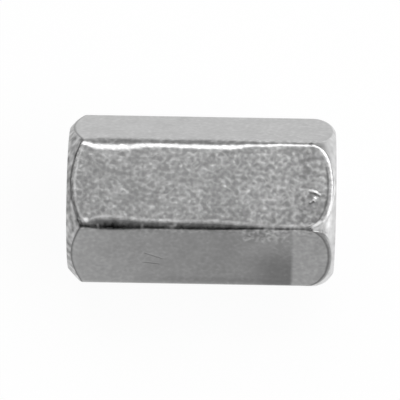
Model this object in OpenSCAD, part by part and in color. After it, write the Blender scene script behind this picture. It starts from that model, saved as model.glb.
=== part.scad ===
// Long hexagon coupling nut, turned and tapped from one piece of bar.
// The bore lies along X, and the nut rests on one of its six flats.
// The origin is the middle of the bore. All sizes are in millimetres.

/* [Hexagon] */
// Width across the flats, which is the size of the wrench
across_flats = 17; // [14:0.5:30]
// Length from one end face to the other
nut_length = 30; // [16:1:60]
// Radius along the six long edges of the bar
edge_radius = 1; // [0.2:0.1:2]

/* [Turned ends] */
// How far inside the flats each chamfer meets its end face
chamfer_inset = 0.5; // [0.1:0.05:1]
// Slope of the straight left chamfer in degrees, measured from the end face
chamfer_angle = 43; // [20:1:60]
// Slope of the crowned right chamfer at its end face, measured from the bore
crown_angle = 61; // [45:1:75]

/* [Thread] */
// Nominal diameter of the thread, across its roots
thread_d = 10; // [5:1:12]
// Distance from one turn of the thread to the next
thread_pitch = 1.5; // [0.5:0.25:2]
// How much wider than the thread the countersink opens
countersink_extra_d = 0.8; // [0.2:0.1:1.6]
// Included angle of the countersink in degrees
countersink_angle = 90; // [60:5:120]

/* [Hidden] */

// Corners of the hexagon, and the centres of the arcs that round them
corner_r = across_flats / 2 / cos(30);
edge_centre_r = corner_r - edge_radius / cos(30);

// The lathe leaves a round face on each end, and just clears the long edges
end_face_r = across_flats / 2 - chamfer_inset;
blank_clearance = 0.02;
blank_r = edge_centre_r + edge_radius + blank_clearance;
chamfer_length = (blank_r - end_face_r) * tan(chamfer_angle);

// The crown is an arc that leaves the blank without a step
crown_r = (blank_r - end_face_r) / (1 - cos(crown_angle));
crown_steps = 8;

// The minor diameter of a metric thread lies 5/8 of its sharp height inside
sharp_height = thread_pitch * cos(30);
bore_d = thread_d - 2 * 5 / 8 * sharp_height;
countersink_d = thread_d + countersink_extra_d;
countersink_depth = (countersink_d - bore_d) / 2 / tan(countersink_angle / 2);

// Cutters run this far past the faces that they cut
past = 1;

// Steps of 10 degrees, so that each arc ends exactly where a flat begins
edge_steps = 36;
$fn = 96;

// Drawn hexagon bar, laid along X with a flat on top and underneath
module bar() {
    rotate([90, 0, 90])
        linear_extrude(nut_length, center = true)
            hull()
                for (corner = [0:60:300])
                    rotate(corner)
                        translate([edge_centre_r, 0])
                            circle(r = edge_radius, $fn = edge_steps);
}

// Outline of the crowned chamfer, from the blank to the right end face
function crown() = [
    for (step = [0:crown_steps])
        let (turned = crown_angle * step / crown_steps)
            [
                blank_r - crown_r * (1 - cos(turned)),
                nut_length / 2 - crown_r * (sin(crown_angle) - sin(turned))
            ]
];

// What the lathe leaves: a round blank with a cone and a crown for its ends
module lathe_envelope() {
    rotate([0, 90, 0])
        rotate_extrude()
            polygon(concat(
                [
                    [0, -nut_length / 2],
                    [end_face_r, -nut_length / 2],
                    [blank_r, -nut_length / 2 + chamfer_length]
                ],
                crown(),
                [[0, nut_length / 2]]
            ));
}

// Tapping drill, and the countersink that opens each end of the hole
module tapped_hole() {
    rotate([0, 90, 0])
        cylinder(d = bore_d, h = nut_length + 2 * past, center = true);
    for (side = [-1, 1])
        rotate([0, side * 90, 0])
            translate([0, 0, nut_length / 2 - countersink_depth])
                cylinder(
                    d1 = bore_d,
                    d2 = countersink_d + 2 * past * tan(countersink_angle / 2),
                    h = countersink_depth + past
                );
}

// Nut: hexagon bar within the turned envelope, drilled from end to end
module coupling_nut() {
    color("#b4b4b4")
        difference() {
            intersection() {
                bar();
                lathe_envelope();
            }
            tapped_hole();
        }
}

coupling_nut();
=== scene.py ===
from math import acos, atan2, cos, pi, radians, sin, tan

import bmesh
import bpy
from mathutils import Matrix, Vector


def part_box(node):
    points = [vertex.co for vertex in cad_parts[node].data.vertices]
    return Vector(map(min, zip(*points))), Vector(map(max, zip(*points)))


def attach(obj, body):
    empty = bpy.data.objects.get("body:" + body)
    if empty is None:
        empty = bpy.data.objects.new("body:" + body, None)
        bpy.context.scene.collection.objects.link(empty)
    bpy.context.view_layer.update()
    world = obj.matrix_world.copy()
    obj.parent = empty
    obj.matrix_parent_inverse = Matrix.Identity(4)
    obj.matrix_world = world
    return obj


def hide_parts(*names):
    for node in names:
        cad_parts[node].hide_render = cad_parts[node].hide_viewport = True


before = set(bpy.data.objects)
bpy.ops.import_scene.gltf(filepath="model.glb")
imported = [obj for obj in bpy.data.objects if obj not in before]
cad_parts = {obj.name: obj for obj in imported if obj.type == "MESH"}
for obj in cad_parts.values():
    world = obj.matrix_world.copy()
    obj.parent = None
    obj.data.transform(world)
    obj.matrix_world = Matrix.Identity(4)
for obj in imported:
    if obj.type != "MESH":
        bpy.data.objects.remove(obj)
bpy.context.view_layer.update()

MM = 0.001


# ---- Nut blank ----
# The nut is one piece of drawn hexagon steel bar. A lathe faces both ends, opens the hole with
# countersinks and turns the long corners down, to a straight chamfer on the left and a crowned
# one on the right. The two upper long edges are uneven: rounder than the others near the left
# end, and sharper towards the right.
low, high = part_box("coupling_nut")
nut_length = high.x - low.x
half_length = nut_length / 2
half_flats = (high.z - low.z) / 2

# Edge 0 points along +Y, and the others follow at every 60 degrees, upwards from there
corner_turn = radians(60)
half_corner = radians(30)
edge_radius = 1.0 * MM

# An uneven edge has this radius at the left end. Each row then gives the place where a change
# begins, the place where it ends, and the change.
far_edge = 1
near_edge = 2
left_radius = {far_edge: 1.1 * MM, near_edge: 0.8 * MM}
radius_changes = {
    far_edge: (
        (-13.4 * MM, -11.4 * MM, 1.05 * MM),
        (-9.0 * MM, -5.6 * MM, -0.7 * MM),
        (-3.5 * MM, -1.2 * MM, 0.2 * MM),
        (3.0 * MM, 6.0 * MM, -0.65 * MM),
        (6.5 * MM, 9.0 * MM, -0.25 * MM),
    ),
    near_edge: (
        (-12.6 * MM, -11.2 * MM, 0.6 * MM),
        (-9.0 * MM, -5.5 * MM, -0.5 * MM),
        (1.0 * MM, 8.5 * MM, -0.65 * MM),
        (11.5 * MM, 13.2 * MM, 0.3 * MM),
    ),
}

end_face_inset = 0.5 * MM
end_face_radius = half_flats - end_face_inset
cone_slope = tan(radians(43))
crown_end = radians(61)
blank_clearance = 0.02 * MM
blank_radius = (half_flats - edge_radius) / cos(half_corner) + edge_radius + blank_clearance
crown_radius = (blank_radius - end_face_radius) / (1 - cos(crown_end))
rim_reach = 0.3 * MM
rim_steps = 5
lip_reach = 0.12 * MM
lip_steps = 3
countersink_radius = 5.4 * MM
pilot_radius = 3.8 * MM

# The middle of the bar has evenly spaced rows of vertices, and each end has rows of its own
turned_length = 2.75 * MM
straight_half = half_length - turned_length
bar_rows = 32
straight_rows = 8
turned_rows = 7

# Faces across each long edge, cuts across each flat, and how close an angle has to be
edge_faces = 10
flat_cuts = 31
angle_slack = radians(0.01)


def smooth_rise(value, start, end):
    """Rises smoothly from 0 to 1 as the value goes from start to end."""
    share = min(max((value - start) / (end - start), 0), 1)
    return share * share * (3 - 2 * share)


def uneven_radius(edge, x, rise):
    """Radius of an uneven edge at a place along the bar, for the mesh or for its finish."""
    radius = left_radius[edge]
    for start, end, change in radius_changes[edge]:
        radius = radius + rise(x, start, end) * change
    return radius


def bar_point(drawn, x):
    """Moves a point of the drawn section to where the uneven bar has it at this place."""
    edge = round(atan2(drawn.z, drawn.y) / corner_turn)
    outward = Vector((0, cos(edge * corner_turn), sin(edge * corner_turn)))
    along_edge = outward.cross(Vector((-1, 0, 0)))
    radius = uneven_radius(edge, x, smooth_rise) if edge in radius_changes else edge_radius
    centre = outward * ((half_flats - radius) / cos(half_corner))
    from_centre = drawn - outward * ((half_flats - edge_radius) / cos(half_corner))
    turned = atan2(from_centre.dot(along_edge), from_centre.dot(outward))
    if abs(turned) <= half_corner + angle_slack:
        around = outward * cos(turned) + along_edge * sin(turned)
        return centre + around * radius
    way = 1 if turned > 0 else -1
    flat = (outward * cos(half_corner) + along_edge * way * sin(half_corner)) * half_flats
    return flat + (drawn - flat) * (half_flats - radius) / (half_flats - edge_radius)


def crown_turn(radius):
    """How far round the crown its surface has turned, where it has this radius."""
    return acos(min(1 - (blank_radius - radius) / crown_radius, 1))


def chamfer_point(radius, side):
    """A point (place, radius) of the chamfer, with its direction towards the end face."""
    if side < 0:
        place = half_length - (radius - end_face_radius) * cone_slope
        turned = pi / 2 - atan2(cone_slope, 1)
    else:
        turned = crown_turn(radius)
        place = half_length - crown_radius * (sin(crown_end) - sin(turned))
    return Vector((place, radius)), Vector((cos(turned), -sin(turned)))


def softened(corner, way_in, way_out, reach, steps):
    """Rounds a corner of a turned profile, from reach before it to reach after it."""
    start = corner - way_in * reach
    end = corner + way_out * reach
    shares = [step / steps for step in range(steps + 1)]
    return [start * (1 - t) ** 2 + corner * 2 * t * (1 - t) + end * t * t for t in shares]


def turned_profile(radius, side):
    """Profile of one end, from the bar at this radius to the pilot hole."""
    along = Vector((1, 0))
    inward = Vector((0, -1))
    rim, rim_way = chamfer_point(radius, side)
    step = (rim.x - rim_reach - straight_half) / straight_rows
    profile = [Vector((straight_half + step * row, radius)) for row in range(straight_rows)]
    profile += softened(rim, along, rim_way, rim_reach, rim_steps)
    foot, foot_way = chamfer_point(end_face_radius, side)
    first = profile[-1].y
    last = foot.y - foot_way.y * lip_reach
    for row in range(1, turned_rows):
        share = row / turned_rows
        if side > 0:
            turned = crown_turn(first) + (crown_turn(last) - crown_turn(first)) * share
            row_radius = blank_radius - crown_radius * (1 - cos(turned))
        else:
            row_radius = first + (last - first) * share
        profile.append(chamfer_point(row_radius, side)[0])
    profile += softened(foot, foot_way, inward, lip_reach, lip_steps)
    profile.append(Vector((half_length, (end_face_radius + countersink_radius) / 2)))
    mouth = Vector((half_length, countersink_radius))
    cone_way = Vector((-1, -1)).normalized()
    profile += softened(mouth, inward, cone_way, lip_reach, lip_steps)
    profile.append(Vector((half_length - countersink_radius + pilot_radius, pilot_radius)))
    return profile


def extruded_ring(mesh, ring):
    """Extrudes a ring of edges in place, and returns the new edges and vertices."""
    made = bmesh.ops.extrude_edge_only(mesh, edges=ring)["geom"]
    edges = [item for item in made if isinstance(item, bmesh.types.BMEdge)]
    verts = [item for item in made if isinstance(item, bmesh.types.BMVert)]
    return edges, verts


blank = bmesh.new()
bmesh.ops.create_circle(
    blank,
    cap_ends=True,
    segments=6,
    radius=half_flats / cos(half_corner),
    matrix=Matrix.Rotation(radians(90), 4, "Y"),
)
bmesh.ops.bevel(
    blank,
    geom=blank.verts[:],
    offset=edge_radius * tan(half_corner),
    offset_type="OFFSET",
    segments=edge_faces,
    profile=0.5,
    affect="VERTICES",
    material=-1,
)
bmesh.ops.delete(blank, geom=blank.faces[:], context="FACES_ONLY")
flat_sides = [edge for edge in blank.edges if edge.calc_length() > edge_radius]
bmesh.ops.subdivide_edges(blank, edges=flat_sides, cuts=flat_cuts)
section = blank.edges[:]

# Each vertex carries its place in the drawn section through every extrusion
drawn_place = blank.verts.layers.float_vector.new("drawn_place")
for vert in blank.verts:
    vert[drawn_place] = vert.co
    vert.co = bar_point(vert.co, 0)

mouths = []
for side in (-1, 1):
    ring = section
    for row in range(1, bar_rows + 1):
        ring, verts = extruded_ring(blank, ring)
        x = side * straight_half * row / bar_rows
        for vert in verts:
            vert.co = bar_point(vert[drawn_place], x)
            vert.co.x = x
    end_rows = len(turned_profile(half_flats, side))
    for row in range(1, end_rows):
        ring, verts = extruded_ring(blank, ring)
        for vert in verts:
            rim = bar_point(vert[drawn_place], side * half_length)
            x, radius = turned_profile(rim.length, side)[row]
            if row < straight_rows:
                vert.co = bar_point(vert[drawn_place], side * x)
            else:
                vert.co = rim * radius / rim.length
            vert.co.x = side * x
    mouths += ring
bmesh.ops.bridge_loops(blank, edges=mouths)
bmesh.ops.recalc_face_normals(blank, faces=blank.faces[:])
blank.verts.layers.float_vector.remove(drawn_place)

nut_mesh = bpy.data.meshes.new("coupling_nut")
blank.to_mesh(nut_mesh)
blank.free()
nut = bpy.data.objects.new("coupling_nut_finished", nut_mesh)
bpy.context.scene.collection.objects.link(nut)


# ---- Thread ----
# The hole is tapped from end to end with a right-handed metric thread. The tap is modelled
# as the screw that fills the thread, and it is cut away from the blank.
thread_pitch = 1.5 * MM
flank_angle = radians(30)
root_radius = 5.0 * MM
crest_radius = root_radius - 5 / 8 * thread_pitch * cos(flank_angle)
steps_per_turn = 96
tap_turns = int(nut_length / thread_pitch) + 3
weld_distance = 0.001 * MM

# In sixteenths of the pitch: 4 along the crest, 5 up a flank, 2 along the root and 5 down
tap = bmesh.new()
tooth = [
    tap.verts.new((0, crest_radius, 0)),
    tap.verts.new((thread_pitch * 4 / 16, crest_radius, 0)),
    tap.verts.new((thread_pitch * 9 / 16, root_radius, 0)),
    tap.verts.new((thread_pitch * 11 / 16, root_radius, 0)),
    tap.verts.new((thread_pitch, crest_radius, 0)),
]
tooth_edges = [tap.edges.new(pair) for pair in zip(tooth, tooth[1:])]
bmesh.ops.spin(
    tap,
    geom=tooth + tooth_edges,
    cent=(0, 0, 0),
    axis=(1, 0, 0),
    dvec=(thread_pitch / steps_per_turn, 0, 0),
    angle=2 * pi * tap_turns,
    steps=steps_per_turn * tap_turns,
)
bmesh.ops.remove_doubles(tap, verts=tap.verts[:], dist=weld_distance)
tap_length = thread_pitch * (tap_turns + 1)
bmesh.ops.translate(tap, vec=(-tap_length / 2, 0, 0), verts=tap.verts[:])
for side in (-1, 1):
    open_edges = [e for e in tap.edges if e.is_boundary and e.verts[0].co.x * side > 0]
    ring, verts = extruded_ring(tap, open_edges)
    bmesh.ops.pointmerge(tap, verts=verts, merge_co=(side * tap_length / 2, 0, 0))
bmesh.ops.recalc_face_normals(tap, faces=tap.faces[:])

tap_mesh = bpy.data.meshes.new("tap")
tap.to_mesh(tap_mesh)
tap.free()
tap_tool = bpy.data.objects.new("tap", tap_mesh)
bpy.context.scene.collection.objects.link(tap_tool)

cut = nut.modifiers.new("tapped", "BOOLEAN")
cut.operation = "DIFFERENCE"
cut.solver = "EXACT"
cut.object = tap_tool
tapped_mesh = bpy.data.meshes.new_from_object(
    nut.evaluated_get(bpy.context.evaluated_depsgraph_get())
)
nut.modifiers.clear()
nut.data = tapped_mesh
bpy.data.objects.remove(tap_tool)

smooth_below = radians(35)
shading = bmesh.new()
shading.from_mesh(nut.data)
for face in shading.faces:
    face.smooth = True
for edge in shading.edges:
    edge.smooth = edge.calc_face_angle(0) < smooth_below
shading.to_mesh(nut.data)
shading.free()

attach(nut, "root")
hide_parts("coupling_nut")


# ---- Plated finish ----
# Dull zinc plate over the steel. It lies frosted on the upper flat, smoother on the others and
# over the faint lines of the drawing die. Its colour also carries painted highlights and painted
# shade along the edges and ends, and painted shade on the near flat.
class Value:
    """A number or colour that varies over a surface: a node's socket that takes arithmetic."""

    def __init__(self, finish, socket):
        self.finish = finish
        self.socket = socket

    def maths(self, operation, first, second=0.0):
        return self.finish.node("Math", {"operation": operation}, {0: first, 1: second})

    def __add__(self, other):
        return self.maths("ADD", self, other)

    def __radd__(self, other):
        return self.maths("ADD", other, self)

    def __sub__(self, other):
        return self.maths("SUBTRACT", self, other)

    def __rsub__(self, other):
        return self.maths("SUBTRACT", other, self)

    def __mul__(self, other):
        return self.maths("MULTIPLY", self, other)

    def __rmul__(self, other):
        return self.maths("MULTIPLY", other, self)

    def __truediv__(self, other):
        return self.maths("DIVIDE", self, other)

    def __pow__(self, other):
        return self.maths("POWER", self, other)

    def __abs__(self):
        return self.maths("ABSOLUTE", self)


class Finish:
    """A material. Every node in it comes from the one method called node."""

    def __init__(self, name):
        self.material = bpy.data.materials.new(name)
        self.material.use_nodes = True
        self.tree = self.material.node_tree
        self.tree.nodes.clear()

    def node(self, kind, settings, inputs, output=0):
        made = self.tree.nodes.new("ShaderNode" + kind)
        for setting, choice in settings.items():
            setattr(made, setting, choice)
        for name, given in inputs.items():
            if isinstance(given, Value):
                self.tree.links.new(given.socket, made.inputs[name])
            else:
                made.inputs[name].default_value = given
        if len(made.outputs) > 0:
            return Value(self, made.outputs[output])

    def rise(self, value, start, end):
        """Rises smoothly from 0 to 1 as the value goes from start to end."""
        return self.node(
            "MapRange",
            {"interpolation_type": "SMOOTHSTEP"},
            {"Value": value, "From Min": start, "From Max": end},
        )

    def band(self, value, middle, width):
        """1 where the value is at the middle, and 0 past this width on either side."""
        return 1 - self.rise(abs(value - middle), 0.0, width)

    def larger(self, first, second):
        """The larger of two values."""
        return self.node("Math", {"operation": "MAXIMUM"}, {0: first, 1: second})

    def mix(self, share, first, second):
        """One colour that turns into another as the share goes from 0 to 1."""
        return self.node("Mix", {"data_type": "RGBA"}, {0: share, 6: first, 7: second}, 2)

    def grain(self, place, size, detail=1.0):
        """Noise about zero, whose lumps have this size."""
        noise = self.node(
            "TexNoise", {}, {"Vector": place, "Scale": 1 / size, "Detail": detail}
        )
        return noise - 0.5

    def scratch(self, place, start, end, width):
        """1 along a short line on the metal, and 0 past this width from it."""
        run = Vector(end) - Vector(start)
        offset = self.node(
            "VectorMath", {"operation": "SUBTRACT"}, {0: place, 1: Vector(start)}
        )
        share = self.node(
            "VectorMath", {"operation": "DOT_PRODUCT"}, {0: offset, 1: run / run.length_squared}, 1
        )
        share = self.node("Clamp", {}, {"Value": share})
        nearest = self.node("VectorMath", {"operation": "SCALE"}, {0: run, "Scale": share})
        gap = self.node("VectorMath", {"operation": "DISTANCE"}, {0: offset, 1: nearest}, 1)
        return 1 - self.rise(gap, 0.0, width)


plate = Finish("plated_steel")
place = plate.node("TexCoord", {}, {}, "Object")
x = plate.node("SeparateXYZ", {}, {"Vector": place}, "X")
y = plate.node("SeparateXYZ", {}, {"Vector": place}, "Y")
z = plate.node("SeparateXYZ", {}, {"Vector": place}, "Z")
bore_distance = (y * y + z * z) ** 0.5

# How far the surface still is from each chamfer
cone_gap = x + half_length - (bore_distance - end_face_radius) * cone_slope
crown_cosine = 1 - (blank_radius - bore_distance) / crown_radius
crown_sine = abs(1 - crown_cosine * crown_cosine) ** 0.5
crown_gap = half_length - crown_radius * (sin(crown_end) - crown_sine) - x
on_cone = 1 - plate.rise(cone_gap, 0.03 * MM, 0.12 * MM)
on_crown = 1 - plate.rise(crown_gap, 0.03 * MM, 0.12 * MM)
on_turning = plate.larger(on_cone, on_crown)
in_bore = 1 - plate.rise(bore_distance, 5.3 * MM, 5.4 * MM)

# How far the surface is from where the two uneven edges begin on the upper flat, and how far down
# each edge it has turned: 0 on the upper flat and 0.5 on the flat at the other side of the edge
far_radius = uneven_radius(far_edge, x, plate.rise)
near_radius = uneven_radius(near_edge, x, plate.rise)
far_gap = (half_flats - far_radius) * tan(half_corner) - y
near_gap = y + (half_flats - near_radius) * tan(half_corner)
far_turn = (half_flats - z) / far_radius
near_turn = (half_flats - z) / near_radius
on_far_side = plate.rise(y, 3.0 * MM, 4.0 * MM)
on_near_side = plate.rise(y, -3.0 * MM, -3.6 * MM)
on_near_edge = plate.rise(near_turn, 0.0, 0.1) * (1 - plate.rise(near_turn, 0.45, 0.6))
on_near_edge = on_near_edge * on_near_side
on_upper_flat = plate.rise(z, half_flats - 0.25 * MM, half_flats - 0.05 * MM)
far_height = z * sin(half_corner) + y * cos(half_corner)
near_height = z * sin(half_corner) - y * cos(half_corner)
on_far_flat = plate.rise(far_height, half_flats - 0.3 * MM, half_flats - 0.05 * MM)
on_near_flat = plate.rise(near_height, half_flats - 0.1 * MM, half_flats - 0.03 * MM)

# Frosted grain: soft lumps, thin light curls, a few bright specks, and broad clouds. It is strong
# on the upper flat, more so towards the right, and on one patch of the near flat.
patch = plate.rise(x, 3.8 * MM, 5.2 * MM) * (1 - plate.rise(x, 9.6 * MM, 10.0 * MM))
patch = patch * plate.rise(z, 6.2 * MM, 7.2 * MM) * on_near_flat
frost = 0.3 + 0.7 * plate.rise(z, half_flats - 1.2 * MM, half_flats - 0.1 * MM) + 0.9 * patch
frost = frost * (1 + 0.15 * plate.rise(x, 3.0 * MM, 8.0 * MM))
lumps = plate.grain(place, 0.48 * MM, 0.6)
lumps = lumps * (1 + 1.4 * lumps)
curls = plate.band(plate.grain(place, 0.85 * MM, 0.0), 0.0, 0.17)
curls = curls * plate.rise(plate.grain(place, 2.2 * MM), -0.12, 0.06)
cells = {"feature": "F1", "distance": "EUCLIDEAN"}
speck_reach = plate.node("TexVoronoi", cells, {"Vector": place, "Scale": 1 / (1.0 * MM)})
specks = 1 - plate.rise(speck_reach, 0.06, 0.24)
clouds = plate.grain(place, 4.0 * MM)
mottle = 0.29 + (lumps * 0.72 + curls * 0.15 + specks * 0.2 + clouds * 0.06) * frost
mottle = mottle - 0.03 * plate.rise(x, -4.0 * MM, 2.0 * MM) * on_upper_flat
mottle = mottle - 0.09 * plate.band(x, 11.8 * MM, 1.8 * MM) * on_upper_flat
# Painted light: the far flat is given a lighter colour than the others
mottle = mottle + 0.115 * on_far_flat + plate.grain(place, 2.0 * MM) * 0.1 * (1 - on_upper_flat)
colour = plate.mix(mottle, (0.2, 0.2, 0.2, 1), (0.8, 0.8, 0.8, 1))

# Painted highlights on the upper flat: a thin light line along the near edge, and one inside the
# cone
ragged = plate.grain(place, 0.8 * MM) * (0.3 * MM)
near_highlight = plate.band(near_gap + ragged, 0.26 * MM, 0.26 * MM) * on_upper_flat
near_highlight = near_highlight * (1 - 0.4 * plate.rise(x, -4.0 * MM, 1.0 * MM))
near_highlight = near_highlight * (1 + 0.7 * plate.rise(x, 8.5 * MM, 10.0 * MM))
cone_highlight = plate.band(cone_gap + ragged, 0.46 * MM, 0.22 * MM)
cone_highlight = cone_highlight * (0.1 + 0.9 * plate.rise(z, half_flats - 0.6 * MM, half_flats - 0.1 * MM))
uneven = plate.rise(plate.grain(place, 0.6 * MM, 2.0), -0.15, 0.1)
painted_highlight = plate.larger(near_highlight, cone_highlight) * (0.4 + 0.6 * uneven)
colour = plate.mix(painted_highlight * 0.8, colour, (0.72, 0.72, 0.72, 1))

# Painted shade: dark lines beside the crown and the cone, in the far edge and just inside it
shade_colour = (0.06, 0.06, 0.06, 1)
crown_shade_line = crown_gap + ragged * 0.4 + (0.25 * MM) * on_near_flat
crown_shade_line = plate.band(crown_shade_line, 0.6 * MM, 0.25 * MM) * (1 - on_far_side)
crown_shade_line = crown_shade_line * (0.75 - 0.5 * plate.rise(y, 1.2 * MM, 3.0 * MM))
colour = plate.mix(crown_shade_line * 0.8, colour, shade_colour)
cone_rim_shade = plate.band(cone_gap, 0.1 * MM, 0.22 * MM) * (1 - on_upper_flat)
colour = plate.mix(cone_rim_shade * 0.6, colour, shade_colour)
broken = plate.rise(plate.grain(place, 0.7 * MM, 2.0), -0.12, 0.05)
far_edge_shade = plate.band(far_turn, 0.25, 0.14) * on_far_side * (0.4 + 0.6 * broken)
far_edge_shade = far_edge_shade * (1 - plate.rise(x, 5.0 * MM, 7.5 * MM))
inside_far_edge = plate.band(far_gap, 0.1 * MM, 0.4 * MM) * on_upper_flat
far_edge_shade = plate.larger(far_edge_shade * 0.4, inside_far_edge * 0.15)
colour = plate.mix(far_edge_shade, colour, shade_colour)

# The near edge: painted shade, nearly black in stretches and fading to the right, broken by nicks
# that carry a painted highlight
shade_strength = plate.band(x, -9.9 * MM, 2.4 * MM)
shade_strength = shade_strength + plate.band(x, -1.8 * MM, 1.0 * MM) * 0.4 + plate.band(x, 3.3 * MM, 2.4 * MM) * 0.3
ragged_turn = near_turn + plate.grain(place, 0.6 * MM, 2.0) * 0.3
near_edge_shade = plate.band(ragged_turn, 0.2, 0.17) * on_near_side * (0.6 + 0.4 * shade_strength)
near_edge_shade = near_edge_shade * (0.5 + 0.5 * plate.larger(shade_strength, broken))
near_edge_shade = near_edge_shade * (1 - 0.9 * plate.rise(x, 3.5 * MM, 7.5 * MM))
nicks_and_highlights = plate.band(x, -6.5 * MM, 0.3 * MM) * 0.4 + plate.band(x, -3.2 * MM, 0.6 * MM) * 0.5
nicks_and_highlights = nicks_and_highlights * on_near_edge
for start, end, width in (
    ((-12.7, -4.2, 8.4), (-12.6, -4.7, 8.1), 0.4),
    ((-11.4, -4.7, 8.2), (-11.3, -5.0, 7.9), 0.3),
    ((-2.8, -4.6, 8.3), (-2.7, -4.8, 8.1), 0.3),
    ((12.5, -4.6, 8.4), (13.3, -4.1, 8.4), 0.4),
):
    nicks_and_highlights = nicks_and_highlights + plate.scratch(place, Vector(start) * MM, Vector(end) * MM, width * MM)
nicks_and_highlights = plate.node("Clamp", {}, {"Value": nicks_and_highlights})
# Painted shade along the near edge, left out where the nicks are
colour = plate.mix(near_edge_shade * (1 - nicks_and_highlights), colour, (0.02, 0.02, 0.02, 1))
# Painted highlight: the nicks take a light colour. Their rougher surface is real.
colour = plate.mix(nicks_and_highlights * 0.8, colour, (0.85, 0.85, 0.85, 1))

# Painted shade on the near flat: it deepens to the right and downwards, and stops sharply before
# the end
lower = 1 - plate.rise(z, 2.5 * MM, 7.0 * MM)
unshaded_end = plate.rise(x, 10.0 * MM, 10.5 * MM)
near_flat_shade = 0.2 * plate.rise(x, -14.5 * MM, -5.0 * MM) + 0.1 * plate.rise(x, -6.0 * MM, 3.0 * MM)
near_flat_shade = near_flat_shade - 0.1 * plate.rise(x, 3.5 * MM, 5.5 * MM) * (1 - lower)
near_flat_shade = near_flat_shade + 0.26 * plate.rise(x, 4.5 * MM, 9.0 * MM) * lower
bottom = plate.rise(x, -6.0 * MM, -3.0 * MM) * (1 - plate.rise(x, 4.5 * MM, 8.0 * MM))
near_flat_shade = near_flat_shade + 0.12 * bottom * plate.band(z, 0.9 * MM, 0.6 * MM)
near_flat_shade = (near_flat_shade * (1 - unshaded_end) + 0.1 + 0.04 * unshaded_end) * on_near_flat
colour = plate.mix(near_flat_shade, colour, shade_colour)

# Turned ends and thread. The crown on the right has a lighter colour than the cone on the left:
# painted light and painted shade.
turned_grain = plate.grain(place, 0.8 * MM) * 1.6 + 0.5
lit_crown_colour = plate.mix(turned_grain, (0.5, 0.5, 0.5, 1), (0.74, 0.74, 0.74, 1))
shaded_cone_colour = plate.mix(turned_grain, (0.1, 0.1, 0.1, 1), (0.62, 0.62, 0.62, 1))
colour = plate.mix(on_cone, colour, shaded_cone_colour)
colour = plate.mix(on_crown, colour, lit_crown_colour)
colour = plate.mix(in_bore, colour, (0.3, 0.3, 0.3, 1))

# Relief of the frost, the drawing lines, small burrs and scratches, and the marks of the lathe.
# Each row is a line's start, end and width, and how high it stands or how deep it cuts.
stretched = plate.node("Mapping", {}, {"Vector": place, "Scale": (0.04, 1, 1)})
die_lines = plate.grain(stretched, 0.3 * MM, 2.0)
flat_height = lumps * (0.010 * MM) + curls * (0.002 * MM) + die_lines * (0.0015 * MM)
for start, end, width, lift in (
    ((12.1, -0.6, 8.5), (12.7, -0.74, 8.5), 0.3, 0.022),
    ((12.7, -0.74, 8.5), (13.1, -1.0, 8.5), 0.28, 0.022),
    ((12.6, -1.42, 8.5), (12.5, -1.66, 8.5), 0.28, 0.022),
    ((12.5, -1.66, 8.5), (12.1, -1.9, 8.5), 0.22, 0.014),
    ((-6.3, -7.08, 4.74), (-4.3, -7.52, 3.98), 0.16, -0.02),
    ((-6.4, -7.85, 3.4), (-4.6, -8.0, 3.14), 0.16, -0.02),
):
    line = plate.scratch(place, Vector(start) * MM, Vector(end) * MM, width * MM)
    flat_height = flat_height + line * (lift * MM)
rings = plate.node("Math", {"operation": "SINE"}, {0: bore_distance * (2 * pi / (0.16 * MM))})
tool_marks = rings * (0.0006 * MM) + plate.grain(place, 0.2 * MM, 2.0) * (0.004 * MM)
height = flat_height * (1 - on_turning) + tool_marks * on_turning

surface = plate.node("Bump", {}, {"Height": height, "Distance": 1.0, "Strength": 1.0})
roughness = 0.32 + plate.grain(place, 1.5 * MM, 2.0) * 0.08 + nicks_and_highlights * 0.35
roughness = roughness + 0.3 * plate.rise(x, 6.0 * MM, 8.5 * MM) * on_near_edge
roughness = plate.larger(roughness, 0.29)
shader = plate.node(
    "BsdfPrincipled",
    {},
    {"Base Color": colour, "Metallic": 1.0, "Roughness": roughness, "Normal": surface},
)
plate.node("OutputMaterial", {}, {"Surface": shader})
nut.data.materials.clear()
nut.data.materials.append(plate.material)


# ---- Studio ----
# A pale paper table with soft panels behind it, low at both sides and high on both sides. Seen
# directly or in a reflection the paper glows, and less towards the camera's side.
floor_mesh = bmesh.new()
bmesh.ops.create_circle(
    floor_mesh, cap_ends=True, segments=96, radius=3.0, matrix=Matrix.Translation((0, 0, low.z))
)
floor_data = bpy.data.meshes.new("floor")
floor_mesh.to_mesh(floor_data)
floor_mesh.free()
floor = bpy.data.objects.new("floor", floor_data)
bpy.context.scene.collection.objects.link(floor)

paper = Finish("pale_paper")
spot = paper.node("TexCoord", {}, {}, "Object")
nearer = paper.node("SeparateXYZ", {}, {"Vector": spot}, "Y")
seen = paper.node("LightPath", {}, {}, "Is Camera Ray")
seen = seen + paper.node("LightPath", {}, {}, "Is Glossy Ray")
seen = seen + paper.node("LightPath", {}, {}, "Is Transmission Ray")
glow_share = 0.45 + 0.5 * paper.rise(nearer, -0.062, -0.025)
matte = paper.node("BsdfDiffuse", {}, {"Color": (0.9, 0.9, 0.9, 1)})
glow = paper.node("Emission", {}, {"Strength": 1.0})
blend = paper.node("MixShader", {}, {0: seen * glow_share, 1: matte, 2: glow})
paper.node("OutputMaterial", {}, {"Surface": blend})
floor_data.materials.append(paper.material)


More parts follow.
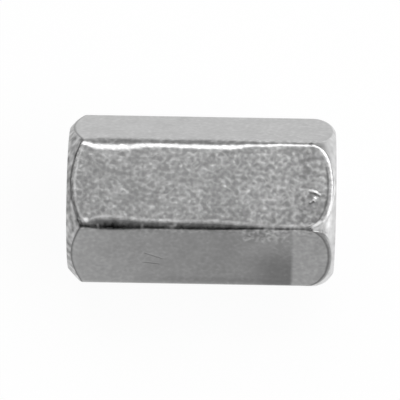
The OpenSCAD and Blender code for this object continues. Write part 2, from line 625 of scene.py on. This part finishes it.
def panel(name, azimuth, elevation, distance, width, height, radiance):
    """A soft lamp that faces the nut. Azimuth 0 is the camera's side and 90 is the right."""
    lamp = bpy.data.lights.new(name, "AREA")
    lamp.shape = "RECTANGLE"
    lamp.size = width
    lamp.size_y = height
    lamp.energy = radiance * pi * width * height
    side = radians(azimuth)
    rise = radians(elevation)
    away = Vector((sin(side) * cos(rise), -cos(side) * cos(rise), sin(rise)))
    stand = bpy.data.objects.new(name, lamp)
    stand.location = away * distance
    stand.rotation_mode = "QUATERNION"
    stand.rotation_quaternion = away.to_track_quat("Z", "Y")
    bpy.context.scene.collection.objects.link(stand)


# Azimuth, elevation, distance, width, height and radiance
panel("main", 166, 55, 0.8, 1.1, 0.46, 3.5)
panel("back_wall", 180, 12, 1.0, 1.8, 0.35, 0.4)
panel("left_wall", 270, 3, 1.0, 1.2, 0.5, 0.9)
panel("right_wall", 90, 3, 1.0, 1.2, 0.5, 2.0)
panel("right_high", 72, 47, 0.8, 0.6, 0.65, 2.6)
panel("left_high", 285, 45, 0.8, 0.6, 0.6, 0.35)

world = bpy.data.worlds.new("room")
world.use_nodes = True
world.node_tree.nodes["Background"].inputs["Color"].default_value = (0.08, 0.08, 0.08, 1)
bpy.context.scene.world = world

# The camera looks almost straight down. The render's width and offset are in pixels, and its
# scale is how many of them make a metre.
view_tilt = radians(11.9)
view_lean = radians(0.55)
view_roll = radians(1.0)
view_distance = 0.415
render_width = 400
render_scale = 8.83 / MM
view_offset = Vector((-1.85, 0.15, 0)) / render_scale
view_width = render_width / render_scale
camera_data = bpy.data.cameras.new("camera")
camera_data.sensor_width = 36
camera_data.lens = camera_data.sensor_width * view_distance / view_width
camera_data.clip_start = 0.01
camera_data.clip_end = 20
camera = bpy.data.objects.new("camera", camera_data)
camera_turn = Matrix.Rotation(view_tilt, 3, "X") @ Matrix.Rotation(view_lean, 3, "Y")
camera_turn = camera_turn @ Matrix.Rotation(view_roll, 3, "Z")
camera.rotation_mode = "QUATERNION"
camera.rotation_quaternion = camera_turn.to_quaternion()
camera.location = camera_turn @ (Vector((0, 0, view_distance)) + view_offset)
bpy.context.scene.collection.objects.link(camera)
bpy.context.scene.camera = camera
bpy.context.scene.view_settings.view_transform = "Standard"
